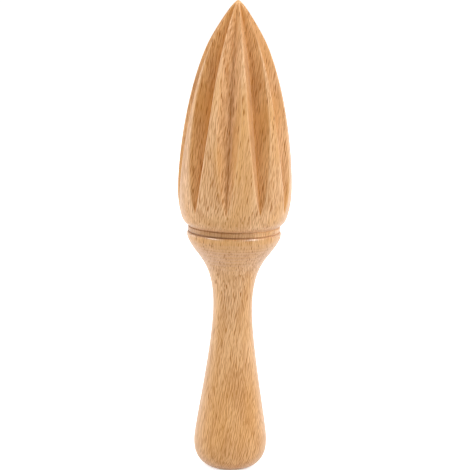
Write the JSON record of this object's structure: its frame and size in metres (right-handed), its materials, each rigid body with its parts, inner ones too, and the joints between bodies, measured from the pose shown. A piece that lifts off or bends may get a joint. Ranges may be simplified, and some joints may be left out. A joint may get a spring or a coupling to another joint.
{
  "type": "citrus reamer",
  "caption": "Turned wooden citrus reamer with a pointed, fluted head for halved fruit, a beaded collar and a slim-waisted grip that swells towards its flat foot.",
  "frame": {"origin": "centre of the flat foot, on the turning axis", "axes": "+Z along the turning axis, from the foot up to the tip; the pictured front faces -Y, with a flute 8.5 degrees to its left as seen"},
  "size_m": [0.0408, 0.0408, 0.17],
  "materials": {
    "beech": "fine sanded steamed beech, bare or thinly oiled, satin"
  },
  "bodies": {
    "root": {"reamer": "beech"}
  },
  "joints": []
}
